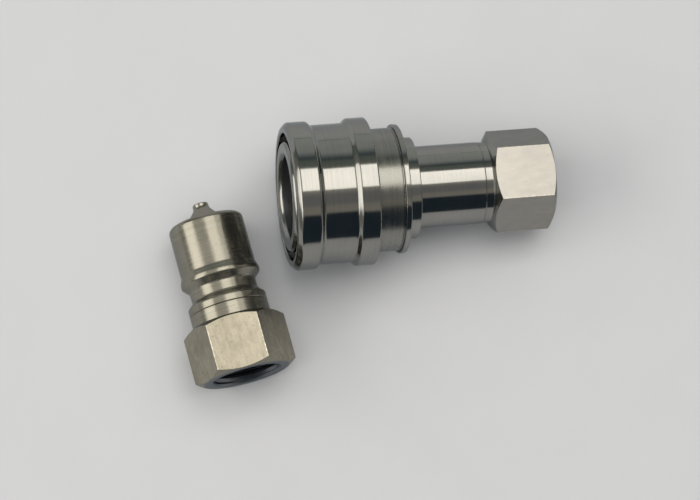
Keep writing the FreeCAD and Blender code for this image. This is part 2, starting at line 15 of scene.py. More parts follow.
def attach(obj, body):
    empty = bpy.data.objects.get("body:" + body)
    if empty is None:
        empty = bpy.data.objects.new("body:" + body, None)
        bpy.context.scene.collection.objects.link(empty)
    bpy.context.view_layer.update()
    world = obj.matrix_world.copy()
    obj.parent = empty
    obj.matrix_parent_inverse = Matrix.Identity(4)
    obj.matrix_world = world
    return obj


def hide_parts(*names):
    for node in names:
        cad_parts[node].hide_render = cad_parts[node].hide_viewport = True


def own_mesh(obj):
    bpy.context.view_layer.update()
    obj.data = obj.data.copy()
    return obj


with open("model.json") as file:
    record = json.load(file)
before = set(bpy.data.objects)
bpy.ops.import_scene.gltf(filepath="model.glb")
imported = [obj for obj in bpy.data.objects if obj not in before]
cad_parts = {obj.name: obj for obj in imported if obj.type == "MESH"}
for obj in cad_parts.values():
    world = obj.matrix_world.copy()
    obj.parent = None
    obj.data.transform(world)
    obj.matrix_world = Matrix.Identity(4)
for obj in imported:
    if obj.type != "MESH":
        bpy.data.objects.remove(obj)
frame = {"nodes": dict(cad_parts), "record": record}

MM_PER_M = 1000


record = frame["record"]
mounts = {mount["name"]: mount for mount in record["mounts"]}
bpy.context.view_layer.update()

# %% [markdown]
# The photograph looks almost straight down, from far away, as for a catalogue. A long lens keeps the
# hexagons and the rings free of perspective. The aim point is on the table between the halves.

# %% Camera
PHOTO_WIDTH = 700
FOCAL_PIXELS = 3000          # the photograph's focal length, in its own pixels
SENSOR_WIDTH = 36
AIM = Vector((-0.0037, 0.0013, 0))
TOWARDS_CAMERA = Vector((-0.016135, -0.15560, 0.98769))
PICTURE_UP = Vector((0.10187, 0.98243, 0.15643))
CAMERA_DISTANCE = 0.7468

lens = bpy.data.cameras.new("camera")
lens.sensor_width = SENSOR_WIDTH
lens.lens = SENSOR_WIDTH * FOCAL_PIXELS / PHOTO_WIDTH
lens.clip_start, lens.clip_end = 0.01, 20
camera = bpy.data.objects.new("camera", lens)
bpy.context.scene.collection.objects.link(camera)
right = PICTURE_UP.cross(TOWARDS_CAMERA).normalized()
up = TOWARDS_CAMERA.cross(right).normalized()
camera.matrix_world = Matrix.Translation(AIM + TOWARDS_CAMERA * CAMERA_DISTANCE) @ Matrix(
    (right, up, TOWARDS_CAMERA.normalized())).transposed().to_4x4()
bpy.context.scene.camera = camera
looking_down = degrees(atan2(TOWARDS_CAMERA.z, TOWARDS_CAMERA.to_2d().length))
print("lens", round(lens.lens, 1), "mm, looking down at", round(looking_down, 1), "degrees")

# %% [markdown]
# Each half is modelled along the X axis in millimetres, as on a lathe, and laid on the table by one
# matrix. The frame says where each axis is: the tapped hole's mount gives its direction, and the
# vertices of a CAD node, measured along it, give where that node starts and ends.

# %% The two axes
def along(axis, point):
    """A matrix from a lathe's millimetres to the table, with X along the axis and Z as upright as can be."""
    x = Vector(axis).normalized()
    y = Vector((0, 0, 1)).cross(x).normalized()
    turn = Matrix((x, y, x.cross(y))).transposed().to_4x4()
    return Matrix.Translation(Vector(point)) @ turn @ Matrix.Scale(1 / MM_PER_M, 4)


def reach(part, placement):
    """Where a CAD node starts and ends along a half's axis, and its inner and outer radius, in mm."""
    back = placement.inverted()
    points = [back @ v.co for v in frame["nodes"][part].data.vertices]
    radii = [p.yz.length for p in points]
    return min(p.x for p in points), max(p.x for p in points), min(radii), max(radii)


def half_placement(mount, part):
    """The placement of a half whose X starts at one end of its main node."""
    axis = Vector(mount["axis"])
    if part == "plug_body":
        axis.negate()
    start = reach(part, along(axis, mount["pos_m"]))[0]
    return along(axis, Vector(mount["pos_m"]) + axis * start / MM_PER_M)


SOCKET = half_placement(mounts["socket_thread"], "socket_body")
PLUG = half_placement(mounts["plug_thread"], "plug_body")
for part, half in (("socket_body", SOCKET), ("sleeve", SOCKET), ("adapter", SOCKET), ("plug_body", PLUG)):
    print(part, "start, end, inner and outer radius:", [round(v, 2) for v in reach(part, half)])

# %% [markdown]
# A turned part is a section spun around its axis. Here a section is a short list of corners, each an
# (x, r) pair in millimetres, with an optional third number that rounds the corner. No real edge is
# perfectly sharp, and on bright metal that thin round is what draws the line of light along it.

# %% Sections and spinning
STEPS = 144                  # faces around a full turn
ROUND_FACES = 3              # faces across a rounded corner
MERGE = 1e-5                 # points nearer than this are one
SHARP = radians(38)          # an edge that turns by more stays sharp


def section(corners):
    """A closed outline in the XZ plane, with its corners rounded."""
    bm = bmesh.new()
    verts = [bm.verts.new((corner[0], 0, corner[1])) for corner in corners]
    for a, b in zip(verts, verts[1:] + verts[:1]):
        bm.edges.new((a, b))
    for vert, corner in zip(verts, corners):
        if len(corner) > 2:
            bmesh.ops.bevel(bm, geom=[vert], offset=corner[2], segments=ROUND_FACES, profile=0.5,
                            affect="VERTICES", material=-1)
    return bm


def spun(corners):
    """A section turned once around the axis, as a closed shell whose faces point outwards."""
    bm = section(corners)
    bmesh.ops.spin(bm, geom=bm.verts[:] + bm.edges[:], cent=(0, 0, 0), axis=(1, 0, 0), dvec=(0, 0, 0),
                   angle=2 * pi, steps=STEPS, use_merge=True, use_duplicate=False)
    bmesh.ops.remove_doubles(bm, verts=bm.verts, dist=MERGE)
    bmesh.ops.recalc_face_normals(bm, faces=bm.faces)
    return bm


def placed(name, bm, half, body, slot, *nodes):
    """A finished piece: its mesh laid in place, smooth, riding on its body and standing for its nodes."""
    bmesh.ops.transform(bm, matrix=half, verts=bm.verts)
    for face in bm.faces:
        face.smooth = True
    for edge in bm.edges:
        if len(edge.link_faces) == 2 and edge.calc_face_angle(0) > SHARP:
            edge.smooth = False
    mesh = bpy.data.meshes.new(name)
    bm.to_mesh(mesh)
    bm.free()
    piece = bpy.data.objects.new(name, mesh)
    bpy.context.scene.collection.objects.link(piece)
    even = piece.modifiers.new("even shading", "WEIGHTED_NORMAL")
    even.keep_sharp = True
    even.weight = 100
    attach(piece, body)
    if nodes:
        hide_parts(*nodes)
    print(name, len(mesh.vertices), "vertices,", len(mesh.polygons), "faces")
    return piece


print("a full turn has", STEPS, "faces, a rounded corner", ROUND_FACES)

# %% [markdown]
# The sleeve is what the hand pulls back. It has two grip rings with a waist between them. Inside are
# a shoulder that rests on a split ring, a ramp, the land that holds the locking balls in, and a room
# for the spring. It is one closed section, walked round once from the front edge.

# %% Sleeve
FRONT_R = 13.5               # socket body round the balls
BARREL_R = 15.05             # socket body behind the spring
GRIP_R, WAIST_R = 18.05, 17.0
SLEEVE_FRONT, SLEEVE_END = 0.3, 20.4
FRONT_GRIP_END, WAIST_START = 5.9, 6.95
WAIST_END, REAR_GRIP_START = 14.9, 15.95
SLEEVE_BEVEL, SLEEVE_LIP = 1.1, 0.25
FRONT_BORE_R = 15.5
REAR_BORE_R = BARREL_R + 0.1
SHOULDER = 3.35              # where the sleeve rests on its split ring
RAMP_R = FRONT_R + 0.83      # the ramp's wide end
RAMP_END, LAND_END = 6.49, 8.99
LAND_R = FRONT_R + 0.05

sleeve_metal = spun([
    (SLEEVE_FRONT, FRONT_BORE_R + SLEEVE_LIP, 0.08), (SLEEVE_FRONT, GRIP_R - SLEEVE_BEVEL, 0.35),
    (SLEEVE_FRONT + SLEEVE_BEVEL, GRIP_R, 0.35), (FRONT_GRIP_END, GRIP_R, 0.3), (WAIST_START, WAIST_R, 0.3),
    (WAIST_END, WAIST_R, 0.35), (REAR_GRIP_START, GRIP_R, 0.3), (SLEEVE_END, GRIP_R, 0.4),
    (SLEEVE_END, REAR_BORE_R, 0.1), (LAND_END, REAR_BORE_R), (LAND_END, LAND_R, 0.1), (RAMP_END, LAND_R, 0.1),
    (SHOULDER, RAMP_R, 0.1), (SHOULDER, FRONT_BORE_R), (SLEEVE_FRONT + SLEEVE_LIP, FRONT_BORE_R, 0.08)])
sleeve = placed("sleeve_shell", sleeve_metal, SOCKET, "sleeve", "sleeve_steel", "sleeve")

# %% [markdown]
# The socket body carries everything: the mouth, the groove for the split ring, eight ball holes, the
# seal groove and the valve seat. Behind the sleeve come a matt band, a fine line, a flange and a
# collar, which is a clean turned band. The valve's opening is straight at first and then widens as a
# cone, which is its seat.

# %% Socket body
MOUTH_R, MOUTH_CONE, MOUTH_END = 10.05, 0.75, 12.0
FRONT_CHAMFER = 0.6
RING_GROOVE, RING_GROOVE_END, RING_GROOVE_R = 2.2, 3.3, 12.8
SEAL_BORE_START, SEAL_BORE_R = 12.6, 9.45
SEAL_GROOVE, SEAL_GROOVE_END, SEAL_GROOVE_R = 15.1, 18.7, 11.47
BARREL_START = 18.45
INNER_FACE = 24.7
OPENING_R, OPENING_DEPTH = 5.2, 0.5
SEAT_DEPTH, CHAMBER_R = 2, 6.7
SPIGOT_START, SPIGOT_R = 26.76, 8.95
FLANGE_START, FLANGE_END, FLANGE_R = 26.9, 28.3, 15.8
LINE = FLANGE_START - 0.28
LINE_HALF_WIDTH, LINE_DEPTH = 0.12, 0.15
COLLAR_R, COLLAR_END = 12.4, 31.46

body_metal = spun([
    (0, MOUTH_R + MOUTH_CONE, 0.2), (0, FRONT_R - FRONT_CHAMFER, 0.15), (FRONT_CHAMFER, FRONT_R, 0.2),
    (RING_GROOVE, FRONT_R, 0.05), (RING_GROOVE, RING_GROOVE_R), (RING_GROOVE_END, RING_GROOVE_R),
    (RING_GROOVE_END, FRONT_R, 0.05), (BARREL_START, FRONT_R), (BARREL_START, BARREL_R, 0.25),
    (LINE - LINE_HALF_WIDTH, BARREL_R, 0.03), (LINE, BARREL_R - LINE_DEPTH, 0.03),
    (LINE + LINE_HALF_WIDTH, BARREL_R, 0.03), (FLANGE_START, BARREL_R), (FLANGE_START, FLANGE_R, 0.25),
    (FLANGE_END, FLANGE_R, 0.25), (FLANGE_END, COLLAR_R, 0.15), (COLLAR_END, COLLAR_R, 0.25),
    (COLLAR_END, SPIGOT_R), (SPIGOT_START, SPIGOT_R), (SPIGOT_START, CHAMBER_R),
    (INNER_FACE + SEAT_DEPTH, CHAMBER_R), (INNER_FACE + OPENING_DEPTH, OPENING_R),
    (INNER_FACE, OPENING_R, 0.05), (INNER_FACE, SEAL_BORE_R), (SEAL_GROOVE_END, SEAL_BORE_R, 0.08),
    (SEAL_GROOVE_END, SEAL_GROOVE_R), (SEAL_GROOVE, SEAL_GROOVE_R), (SEAL_GROOVE, SEAL_BORE_R, 0.08),
    (SEAL_BORE_START, SEAL_BORE_R, 0.15), (MOUTH_END, MOUTH_R, 0.15), (MOUTH_CONE, MOUTH_R, 0.25)])
print("socket body before drilling:", len(body_metal.faces), "faces")

# %% [markdown]
# The ball holes go in with a Boolean, because a spin can't make them. The cutter is eight short rods
# with round ends, as a hole's round bottom is what keeps its ball out of the bore. The faces then
# get their finish by where they are: the bore is oiled and painted darker as shade inside it, and the
# barrel's band is matt.

# %% Ball holes
BALL_COUNT, BALL_R = 8, 2.38
BALL_PLAY = 0.04             # a hole's radius over its ball's
BALL_PLANE, BALL_CENTRE_R = 6.2, 11.14
BORE_FACES, BAND_FACES = 1, 2
BORE_MARGIN, NEAR_SURFACE = 0.02, 0.1


def loose_object(name, bm):
    """An object from a mesh, with nothing else done to it."""
    mesh = bpy.data.meshes.new(name)
    bm.to_mesh(mesh)
    bm.free()
    holder = bpy.data.objects.new(name, mesh)
    bpy.context.scene.collection.objects.link(holder)
    return holder


def carved(bm, cutter_bm):
    """The first mesh with the second one taken out of it."""
    target, cutter = loose_object("target", bm), loose_object("cutter", cutter_bm)
    cut = target.modifiers.new("cut", "BOOLEAN")
    cut.operation, cut.solver, cut.object = "DIFFERENCE", "EXACT", cutter
    result = bmesh.new()
    result.from_object(target, bpy.context.evaluated_depsgraph_get())
    for holder in (target, cutter):
        bpy.data.meshes.remove(holder.data)
    return result


def ball_cutter():
    """Eight rods, each a ball whose outer half is moved out by its own width."""
    radius = BALL_R + BALL_PLAY
    cutter = bmesh.new()
    for k in range(BALL_COUNT):
        rod = bmesh.ops.create_uvsphere(cutter, u_segments=48, v_segments=24, radius=radius)["verts"]
        outer_half = [v for v in rod if v.co.z > MERGE]
        bmesh.ops.translate(cutter, verts=outer_half, vec=(0, 0, 2 * radius))
        turn = Matrix.Rotation(-2 * pi * k / BALL_COUNT, 4, "X")
        place = turn @ Matrix.Translation((BALL_PLANE, 0, BALL_CENTRE_R))
        bmesh.ops.transform(cutter, matrix=place, verts=rod)
    return cutter


drilled = carved(body_metal, ball_cutter())
for face in drilled.faces:
    middle = face.calc_center_median()
    in_bore = middle.yz.length < MOUTH_R + BORE_MARGIN
    on_band = BARREL_START < middle.x < LINE and middle.yz.length > BARREL_R - NEAR_SURFACE
    # The bore's faces get a darker finish: oil, and painted shade inside the bore.
    face.material_index = BORE_FACES if in_bore else BAND_FACES if on_band else 0
socket_shell = placed("socket_shell", drilled, SOCKET, "socket", "socket_steel", "socket_body")

# %% [markdown]
# A hexagon end is turned first and milled after, and it is easiest to model in the same order. The
# bar is spun a little wider than its corners, with its chamfers, and six planes then cut the flats.
# Where a flat meets a chamfer, the cut draws the curved line that every real nut has. The edges of
# the flats are broken last. A later cut can replace an earlier flat's face, and that flat is then
# passed over, so the number of flats with broken edges can differ from one run to the next.

# %% Flats
HEX_R = 11.0                 # across the flats, halved
CORNER_R = HEX_R / cos(pi / 6)
BAR_R = CORNER_R + 0.25      # the bar before it is milled
END_FACE_R = HEX_R - 0.25
CHAMFER = tan(radians(30))   # length of a chamfer for each mm of its height
END_CHAMFER = (BAR_R - END_FACE_R) * CHAMFER
FLAT_FACES = 1
BEYOND_ENDS = 0.5            # faces this far past a flat's ends are cut too
SAME_SIDE = 0.3 * HEX_R


def flats_cut(bm, start, end, edge):
    """Mills six flats between two places along the axis, and breaks the edges of those still valid."""
    flats = []
    for k in range(6):
        out = Matrix.Rotation(k * pi / 3, 4, "X") @ Vector((0, 0, 1))
        near = [f for f in bm.faces if start - BEYOND_ENDS < f.calc_center_median().x < end + BEYOND_ENDS
                and f.calc_center_median().dot(out) > SAME_SIDE]
        around = set(near) | {e for f in near for e in f.edges} | {v for f in near for v in f.verts}
        cut = bmesh.ops.bisect_plane(bm, geom=list(around), dist=MERGE, plane_co=out * HEX_R, plane_no=out,
                                     clear_outer=True)
        rim = [e for e in cut["geom_cut"] if isinstance(e, bmesh.types.BMEdge) and e.is_boundary]
        flats += bmesh.ops.contextual_create(bm, geom=rim)["faces"]
    borders = {e for f in flats if f.is_valid for e in f.edges}
    bmesh.ops.bevel(bm, geom=list(borders), offset=edge, segments=2, profile=0.5, affect="EDGES",
                    material=-1, clamp_overlap=True)
    bmesh.ops.recalc_face_normals(bm, faces=bm.faces)
    for face in bm.faces:
        radius = face.calc_center_median().yz.length
        on_flat = abs(face.normal.x) < 0.5 and radius > HEX_R - NEAR_SURFACE
        face.material_index = FLAT_FACES if on_flat else 0
    return bm


print("hexagon:", 2 * HEX_R, "mm across flats,", round(2 * CORNER_R, 1), "across corners")

# %% [markdown]
# The rear of the socket is a neck, a shallow relief and a hexagon with a tapped hole. It screws into
# the body, with a small O-ring behind the joint. Inside, a wide chamber for the valve's guide steps
# down to the passage, which opens into the thread.

# %% Socket's rear end
THREAD_R, THREAD_DEPTH = 8.33, 12.6
THREAD_MOUTH = 0.45          # chamfer at the start of a tapped hole
ADAPTER_R = 8.9
O_RING_START, O_RING_END, O_RING_R = SPIGOT_START + 0.6, SPIGOT_START + 1.8, 7.9
NECK_START, NECK_R = COLLAR_END + 0.02, 10.0
RELIEF, RELIEF_R = 47.96, 9.88
HEX_START, SOCKET_END = 49.76, 65.16
PASSAGE_R = 6.0
GUIDE_PLACE = 37.55
PASSAGE_START = GUIDE_PLACE + 2
SOCKET_THREAD_FLOOR = SOCKET_END - THREAD_DEPTH

end_metal = spun([
    (SPIGOT_START, ADAPTER_R, 0.2), (O_RING_START, ADAPTER_R), (O_RING_START, O_RING_R),
    (O_RING_END, O_RING_R), (O_RING_END, ADAPTER_R), (NECK_START, ADAPTER_R), (NECK_START, NECK_R, 0.25),
    (RELIEF - (NECK_R - RELIEF_R), NECK_R, 0.1), (RELIEF, RELIEF_R, 0.1), (HEX_START, RELIEF_R, 0.1),
    (HEX_START, NECK_R, 0.05), (HEX_START + (BAR_R - NECK_R) * CHAMFER, BAR_R),
    (SOCKET_END - END_CHAMFER, BAR_R), (SOCKET_END, END_FACE_R, 0.15),
    (SOCKET_END, THREAD_R + THREAD_MOUTH, 0.08), (SOCKET_END - THREAD_MOUTH, THREAD_R),
    (SOCKET_THREAD_FLOOR, THREAD_R), (SOCKET_THREAD_FLOOR, PASSAGE_R, 0.1), (PASSAGE_START, PASSAGE_R),
    (PASSAGE_START, CHAMBER_R), (SPIGOT_START, CHAMBER_R)])
socket_end = placed("socket_end", flats_cut(end_metal, HEX_START, SOCKET_END, 0.12), SOCKET, "socket",
                    "socket_steel", "adapter")

# %% [markdown]
# The plug is turned from one bar: hexagon, guide band with a fine line, ball groove, ridge and nose.
# The groove's slanted flanks are what the balls push against when the halves are locked. The end
# face and the tapped hole get a finish of their own, duller than the rest and darker and bluer,
# which is painted shade.

# %% Plug body
BAND_R, RIDGE_R, GROOVE_R, NOSE_R = 9.75, 9.9, 8.3, 9.35
PLUG_HEX_END, BAND_END = 13.9, 18.9
HEX_FOOT_R = BAND_R + 0.25
BAND_LINE = BAND_END - 1.8
BAND_LINE_SIZE = 0.15        # its depth, and half its width
FLOOR_START, FLOOR_END = 20.3, 23.0
RIDGE_START, RIDGE_END = 24.55, 25.55
NOSE_START, NOSE_FRONT = 27.15, 39.85
GUIDE_SHOULDER, GUIDE_BORE_R = 18.01, 7.3
CLIP_GROOVE, CLIP_GROOVE_END, CLIP_GROOVE_R = 14.9, 15.99, 7.9
END_FACES = 2
END_FACES_R = HEX_R - 0.3    # the end face and the hole lie within this

plug_metal = flats_cut(spun([
    (0, THREAD_R + THREAD_MOUTH, 0.08), (0, END_FACE_R, 0.15), (END_CHAMFER, BAR_R),
    (PLUG_HEX_END - (BAR_R - HEX_FOOT_R) * CHAMFER, BAR_R), (PLUG_HEX_END, HEX_FOOT_R, 0.05),
    (PLUG_HEX_END, BAND_R), (BAND_LINE - BAND_LINE_SIZE, BAND_R, 0.04), (BAND_LINE, BAND_R - BAND_LINE_SIZE),
    (BAND_LINE + BAND_LINE_SIZE, BAND_R, 0.04), (BAND_END, BAND_R, 0.25), (FLOOR_START, GROOVE_R, 0.35),
    (FLOOR_END, GROOVE_R, 0.35), (RIDGE_START, RIDGE_R, 0.25), (RIDGE_END, RIDGE_R, 0.2),
    (NOSE_START, NOSE_R, 0.15), (NOSE_FRONT, NOSE_R, 1.3), (NOSE_FRONT, OPENING_R, 0.1),
    (NOSE_FRONT - OPENING_DEPTH, OPENING_R), (NOSE_FRONT - SEAT_DEPTH, CHAMBER_R),
    (GUIDE_SHOULDER, CHAMBER_R), (GUIDE_SHOULDER, GUIDE_BORE_R), (CLIP_GROOVE_END, GUIDE_BORE_R),
    (CLIP_GROOVE_END, CLIP_GROOVE_R), (CLIP_GROOVE, CLIP_GROOVE_R), (CLIP_GROOVE, GUIDE_BORE_R),
    (THREAD_DEPTH, GUIDE_BORE_R), (THREAD_DEPTH, THREAD_R), (THREAD_MOUTH, THREAD_R)]), 0, PLUG_HEX_END, 0.2)
# The end face and the hole get a darker, bluer finish, which is painted shade.
for face in plug_metal.faces:
    middle = face.calc_center_median()
    if middle.x < THREAD_DEPTH and middle.yz.length < END_FACES_R:
        face.material_index = END_FACES
plug_shell = placed("plug_shell", plug_metal, PLUG, "plug", "plug_steel", "plug_body")

# %% [markdown]
# The pipe thread in each end is a ridge that winds along the hole. Spin does this too: with a shift
# along the axis at every step, a flat-topped triangle becomes a screw. Its first and last turns
# shrink into the wall, as a real thread runs out.

# %% Threads
THREAD_PITCH, THREAD_HEIGHT = 1.337, 0.86
THREAD_TURNS = 8.5
TURN_STEPS = 72
FOOT_HALF_WIDTH, CREST_HALF_WIDTH = THREAD_PITCH * 0.47, 0.12
FOOT_SUNK = 0.05             # how far the ridge's foot is inside the wall
LEAST_HEIGHT = 0.02          # share of the ridge's height at its very ends
RUN_OUT = 0.9                # turns from there to its full height
FROM_FLOOR, FROM_END_FACE = 0.6, 0.7


def thread_ridge(name, start, half, body, slot):
    """A screw-shaped ridge on the wall of a tapped hole, from start along the axis."""
    bm = bmesh.new()
    foot, crest = THREAD_R + FOOT_SUNK, THREAD_R - THREAD_HEIGHT
    bm.faces.new([bm.verts.new((x, 0, r)) for x, r in (
        (-FOOT_HALF_WIDTH, foot), (-CREST_HALF_WIDTH, crest),
        (CREST_HALF_WIDTH, crest), (FOOT_HALF_WIDTH, foot))])
    bmesh.ops.spin(bm, geom=bm.verts[:] + bm.edges[:] + bm.faces[:], cent=(0, 0, 0), axis=(1, 0, 0),
                   dvec=(THREAD_PITCH / TURN_STEPS, 0, 0), angle=2 * pi * THREAD_TURNS,
                   steps=round(TURN_STEPS * THREAD_TURNS), use_duplicate=False)
    bmesh.ops.recalc_face_normals(bm, faces=bm.faces)
    length = THREAD_PITCH * THREAD_TURNS
    for v in bm.verts:
        turns_from_end = min(v.co.x, length - v.co.x) / THREAD_PITCH
        depth = THREAD_R - v.co.yz.length
        if depth > 0:
            share = min(1, max(LEAST_HEIGHT, turns_from_end + 1 - RUN_OUT))
            v.co.yz *= (THREAD_R - depth * share) / v.co.yz.length
    bmesh.ops.translate(bm, verts=bm.verts, vec=(start, 0, 0))
    return placed(name, bm, half, body, slot)


socket_thread = thread_ridge("socket_thread_turns", SOCKET_THREAD_FLOOR + FROM_FLOOR, SOCKET, "socket",
                             "socket_steel")
plug_thread = thread_ridge("plug_thread_turns", FROM_END_FACE, PLUG, "plug", "plug_steel")

# %% [markdown]
# A compression spring has open turns in the middle and a closed, ground turn at each end, so that it
# stands square. A circle is spun with a shift at each step: a small shift for the end turns, and a
# full one between. What would stand past either end is pressed flat, as if ground.

# %% Springs
WIRE_FACES, COIL_STEPS = 14, 48
END_TURN = 0.75              # length of a closed end, in turns
END_PACE = 0.16              # its climb, against the open turns'
GROUND = 0.15                # how much of the wire's thickness is ground off each end
SPRING_GAP = 0.02
HEAD_BACK = 2.33             # from a valve's seat to the back of its head
VALVE_SPRING_R, VALVE_WIRE = 4.4, 0.9
SLEEVE_WIRE = 1.15
SLEEVE_SPRING_R = FRONT_R + 0.2 + SLEEVE_WIRE / 2


def spring(name, start, end, middle_r, wire, turns, half, body, replaced):
    """A coil between two places on the axis."""
    bm = bmesh.new()
    bmesh.ops.create_circle(bm, segments=WIRE_FACES, radius=wire / 2, cap_ends=True)
    bmesh.ops.rotate(bm, verts=bm.verts, cent=(0, 0, 0), matrix=Matrix.Rotation(pi / 2, 3, "X"))
    bmesh.ops.translate(bm, verts=bm.verts, vec=(start + wire / 2, 0, middle_r))
    stretches = ((END_TURN, END_PACE), (turns - 2 * END_TURN, 1), (END_TURN, END_PACE))
    climb = (end - start - wire) / sum(share * pace for share, pace in stretches)
    geom = bm.verts[:] + bm.edges[:] + bm.faces[:]
    for share, pace in stretches:
        geom = bmesh.ops.spin(bm, geom=geom, cent=(0, 0, 0), axis=(1, 0, 0),
                              dvec=(pace * climb / COIL_STEPS, 0, 0), angle=2 * pi * share,
                              steps=round(COIL_STEPS * share), use_duplicate=False)["geom_last"]
    bmesh.ops.recalc_face_normals(bm, faces=bm.faces)
    for v in bm.verts:
        v.co.x = min(max(v.co.x, start + wire * GROUND), end - wire * GROUND)
    piece = placed(name, bm, half, body, "spring_steel", replaced)
    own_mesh(piece)
    return piece


sleeve_stop = BARREL_START - SPRING_GAP
sleeve_coil = spring("sleeve_coil", LAND_END + SPRING_GAP, sleeve_stop, SLEEVE_SPRING_R, SLEEVE_WIRE, 3.5,
                     SOCKET, "socket", "sleeve_spring")
socket_head = INNER_FACE + OPENING_DEPTH + HEAD_BACK + SPRING_GAP
socket_stop = GUIDE_PLACE - 2 * SPRING_GAP
socket_coil = spring("socket_valve_coil", socket_head, socket_stop, VALVE_SPRING_R, VALVE_WIRE, 6,
                     SOCKET, "socket", "socket_valve_spring")
plug_head = NOSE_FRONT - OPENING_DEPTH - HEAD_BACK - SPRING_GAP
plug_stop = GUIDE_SHOULDER + 2 * SPRING_GAP
plug_coil = spring("plug_valve_coil", plug_stop, plug_head, VALVE_SPRING_R, VALVE_WIRE, 9,
                   PLUG, "plug", "plug_valve_spring")

# %% [markdown]
# Materials come next. A few helpers keep the node trees short: one sets a node's sockets by name,
# one joins sockets in pairs, and the others make the small patterns that come back in each finish.

# %% Node helpers
def node(tree, kind, **settings):
    """A new node, with each setting given to its socket, or to the node itself where it has none."""
    made = tree.nodes.new(kind)
    for name, value in settings.items():
        if name in made.inputs:
            made.inputs[name].default_value = value
        else:
            setattr(made, name, value)
    return made


def joined(tree, *pairs):
    for source, target in pairs:
        tree.links.new(source, target)


def node_group(name, inputs, outputs):
    """An empty group with its sockets, given as {name: socket type}, and its two end nodes."""
    group = bpy.data.node_groups.new(name, "ShaderNodeTree")
    for socket, kind in inputs.items():
        group.interface.new_socket(name=socket, in_out="INPUT", socket_type=kind)
    for socket, kind in outputs.items():
        group.interface.new_socket(name=socket, in_out="OUTPUT", socket_type=kind)
    return group, node(group, "NodeGroupInput"), node(group, "NodeGroupOutput")


def math_node(tree, operation, *values):
    """One sum, whose values are numbers or sockets."""
    made = node(tree, "ShaderNodeMath", operation=operation)
    for socket, value in zip(made.inputs, values):
        if isinstance(value, bpy.types.NodeSocket):
            tree.links.new(value, socket)
        else:
            socket.default_value = value
    return made.outputs[0]


def weighted(tree, *terms, base=0.0):
    """A base, plus each value times its own factor."""
    total = base
    for value, factor in terms:
        total = math_node(tree, "MULTIPLY_ADD", value, factor, total)
    return total


def remapped(tree, value, zero_at, one_at):
    """A mask that is 0 at one value and 1 at the other, and stays within that."""
    made = node(tree, "ShaderNodeMapRange", clamp=True)
    made.inputs["From Min"].default_value = zero_at
    made.inputs["From Max"].default_value = one_at
    tree.links.new(value, made.inputs["Value"])
    return made.outputs["Result"]


def tone_ramp(tree, dark, light, start=0.0, end=1.0):
    """A colour ramp from a dark tone to a light one."""
    made = node(tree, "ShaderNodeValToRGB")
    for element, place, tone in zip(made.color_ramp.elements, (start, end), (dark, light)):
        element.position = place
        element.color = (*tone, 1)
    return made


def new_material(name):
    """A new material, with its node tree and its shader."""
    material = bpy.data.materials.new(name)
    material.use_nodes = True
    return material, material.node_tree, material.node_tree.nodes["Principled BSDF"]


# %% [markdown]
# Turned metal has fine rings left by the tool. The first group gives these marks: noise that changes
# quickly along the axis and along the radius, and not at all around it. It reads a point in the
# half's own millimetres, where X runs along the axis and the distance from it is the radius.

# %% Turned marks
MARKS_SOCKETS = {"Lathe": "NodeSocketVector", "Fineness": "NodeSocketFloat"}, {"Marks": "NodeSocketFloat"}


def turned_marks():
    group, start, end = node_group("turned marks", *MARKS_SOCKETS)
    split = node(group, "ShaderNodeSeparateXYZ")
    flat = node(group, "ShaderNodeCombineXYZ")
    length = node(group, "ShaderNodeVectorMath", operation="LENGTH")
    rings = node(group, "ShaderNodeCombineXYZ")
    noise = node(group, "ShaderNodeTexNoise", noise_dimensions="2D", Detail=4.0, Roughness=0.65)
    joined(group, (start.outputs["Lathe"], split.inputs[0]), (split.outputs["Y"], flat.inputs["Y"]),
           (split.outputs["Z"], flat.inputs["Z"]), (flat.outputs[0], length.inputs[0]),
           (split.outputs["X"], rings.inputs["X"]), (length.outputs["Value"], rings.inputs["Y"]),
           (rings.outputs[0], noise.inputs["Vector"]), (start.outputs["Fineness"], noise.inputs["Scale"]),
           (noise.outputs["Fac"], end.inputs["Marks"]))
    return group


TURNED = turned_marks()
print("node group:", TURNED.name)

# %% [markdown]
# The flats of a hexagon come from cold-drawn bar, so they have no rings. Their grain runs along the
# bar, soft and blotchy, and it has no direction that a reflection would follow.

# %% Drawn marks
def drawn_marks():
    group, start, end = node_group("drawn marks", *MARKS_SOCKETS)
    longer = node(group, "ShaderNodeMapping", Scale=(0.35, 1, 1))
    noise = node(group, "ShaderNodeTexNoise", Detail=6.0, Roughness=0.7)
    joined(group, (start.outputs["Lathe"], longer.inputs["Vector"]),
           (longer.outputs[0], noise.inputs["Vector"]), (start.outputs["Fineness"], noise.inputs["Scale"]),
           (noise.outputs["Fac"], end.inputs["Marks"]))
    return group


DRAWN = drawn_marks()
print("node group:", DRAWN.name)

# %% [markdown]
# The third group is what hands and benches do to metal: broad smudges that dull it, fine scratches
# that run at a slant to the axis, and small dents. The real plug shows more of this than the socket.

